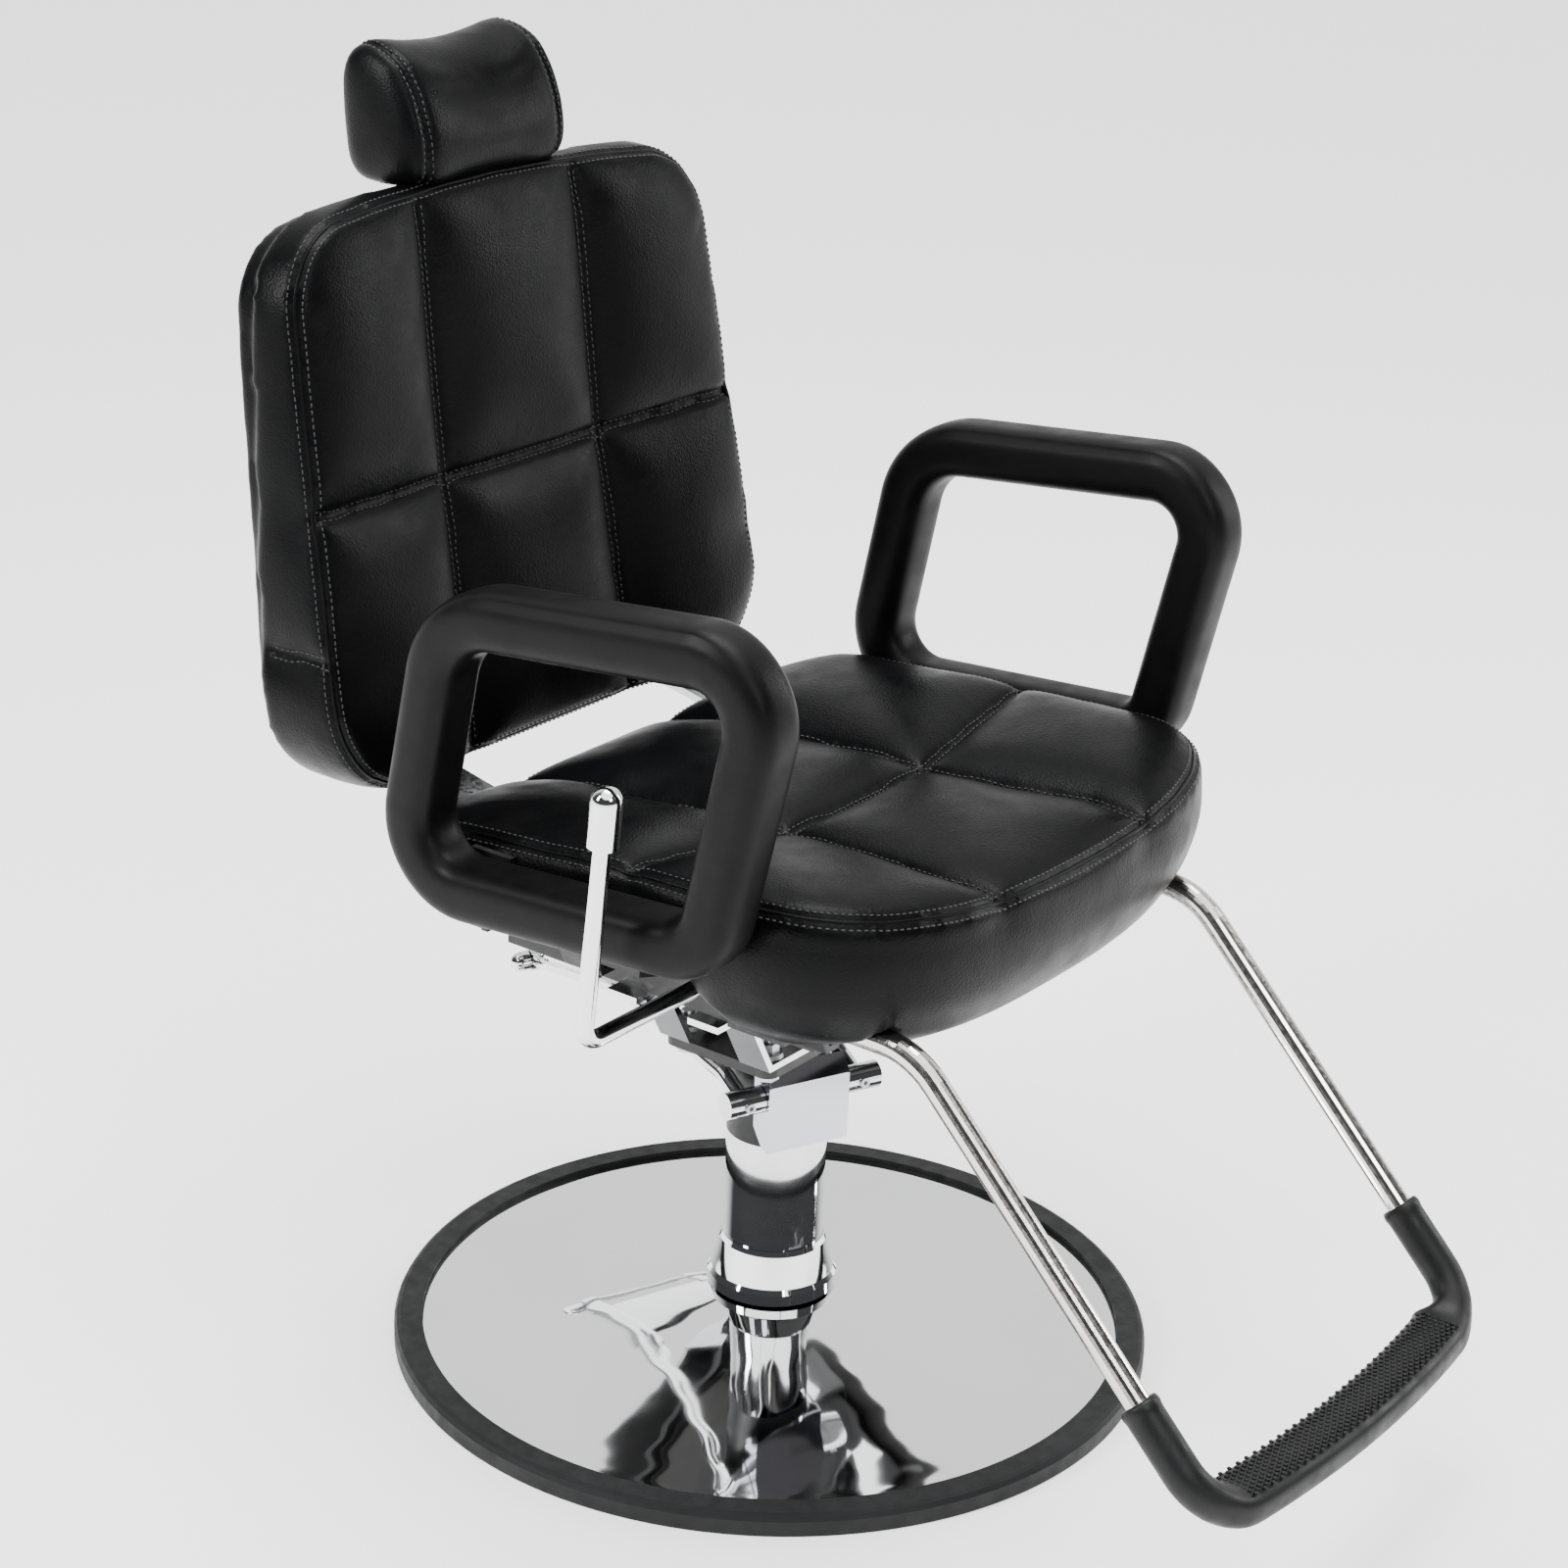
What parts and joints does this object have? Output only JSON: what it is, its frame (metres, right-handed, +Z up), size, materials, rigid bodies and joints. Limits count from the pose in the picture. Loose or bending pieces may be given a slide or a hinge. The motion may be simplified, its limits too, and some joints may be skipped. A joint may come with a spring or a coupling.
{
  "type": "hydraulic barber chair",
  "caption": "Reclining hydraulic barber chair with round chrome base, loop armrests, sliding headrest and a U-shaped footrest with rubber pad.",
  "frame": {"origin": "on the floor, at the pump's axis, at the centre of the base plate's underside", "axes": "+Z up along the pump; the sitter faces -Y; the sitter's right hand is at -X"},
  "size_m": [0.638, 0.9024, 0.9765],
  "materials": {
    "leather_seat": "soft sheen, fine grain",
    "leather_back": "soft sheen, fine grain",
    "leather_head": "soft sheen, fine grain",
    "arm_foam": "moulded skin foam, satin",
    "mirror_chrome": "polished",
    "satin_tube": "satin polished",
    "bracket_steel": "satin",
    "black_steel": "satin black",
    "bronze": "dull",
    "ring_rubber": "matte",
    "pad_rubber": "matte, dimpled",
    "plywood": "raw",
    "sleeve_plastic": "satin"
  },
  "bodies": {
    "base": {"base_plate": "black_steel", "base_ring": "ring_rubber", "base_dish": "mirror_chrome", "base_bolts": "black_steel", "column_tube": "mirror_chrome", "column_collar": "mirror_chrome", "guide_bush": "bronze"},
    "pump": {"piston": "mirror_chrome", "pump_head": "mirror_chrome", "head_cover": "mirror_chrome", "thrust_washer": "bronze", "spindle_nut": "black_steel"},
    "pump_lever": {"lever_shaft": "mirror_chrome", "lever_hubs": "mirror_chrome", "hub_screws": "mirror_chrome", "pump_arms": "mirror_chrome", "treadle_plate": "mirror_chrome", "pedal_rod": "mirror_chrome", "pedal_nuts": "mirror_chrome"},
    "seat": {"top_plate": "black_steel", "plate_bolts": "mirror_chrome", "mount_straps": "bracket_steel", "seat_rail_right": "black_steel", "seat_rail_left": "black_steel", "front_crossbar": "black_steel", "rear_crossbar": "black_steel", "arm_straps": "black_steel", "arm_bolts": "black_steel", "armrest_right": "arm_foam", "armrest_left": "arm_foam", "seat_board": "plywood", "seat_cushion": "leather_seat", "footrest_tube": "satin_tube", "footrest_sockets": "black_steel", "footrest_pad": "pad_rubber", "hinge_ears": "black_steel", "hinge_pins": "mirror_chrome", "lock_body": "black_steel", "lock_clamps": "black_steel", "lever_bearing": "black_steel"},
    "lock": {"lock_rod": "mirror_chrome", "lock_pin": "mirror_chrome"},
    "lever": {"recline_lever": "mirror_chrome", "lever_knob": "mirror_chrome"},
    "back": {"back_brackets": "bracket_steel", "back_board": "plywood", "bracket_screws": "mirror_chrome", "back_cushion": "leather_back", "back_cover": "leather_back", "post_sleeves": "sleeve_plastic"},
    "headrest": {"headrest_posts": "mirror_chrome", "headrest_plate": "mirror_chrome", "headrest_cushion": "leather_head"}
  },
  "joints": [
    {"name": "lift_slide", "type": "slide", "parent": "base", "child": "pump", "axis": [0, 0, 1], "range_m": [0, 0.14]},
    {"name": "seat_swivel", "type": "hinge", "parent": "pump", "child": "seat", "pos_m": [0, 0, 0.27], "axis": [0, 0, 1], "continuous": true},
    {"name": "pump_pedal", "type": "hinge", "parent": "pump", "child": "pump_lever", "pos_m": [-0.01328, -0.0313, 0.224], "axis": [0.9205, -0.3907, 0], "range_deg": [-20, 0], "stiffness_Nm_per_rad": 12, "springref_deg": 20.05},
    {"name": "backrest_recline", "type": "hinge", "parent": "seat", "child": "back", "pos_m": [0, 0.211, 0.385], "axis": [-1, 0, 0], "range_deg": [0, 40]},
    {"name": "lock_slide", "type": "slide", "parent": "seat", "child": "lock", "axis": [0, -1, 0], "range_m": [0, 0.0345]},
    {"name": "recline_lever_tilt", "type": "hinge", "parent": "seat", "child": "lever", "pos_m": [-0.25, -0.076, 0.39], "axis": [-1, 0, 0], "range_deg": [0, 12], "stiffness_Nm_per_rad": 3, "springref_deg": -5.73},
    {"name": "headrest_slide", "type": "slide", "parent": "back", "child": "headrest", "axis": [0, 0.0698, 0.9976], "range_m": [0, 0.06]}
  ],
  "couplings": [
    {"joint": "lock_slide", "follows": "backrest_recline", "m_per_rad": 0.04901}
  ]
}
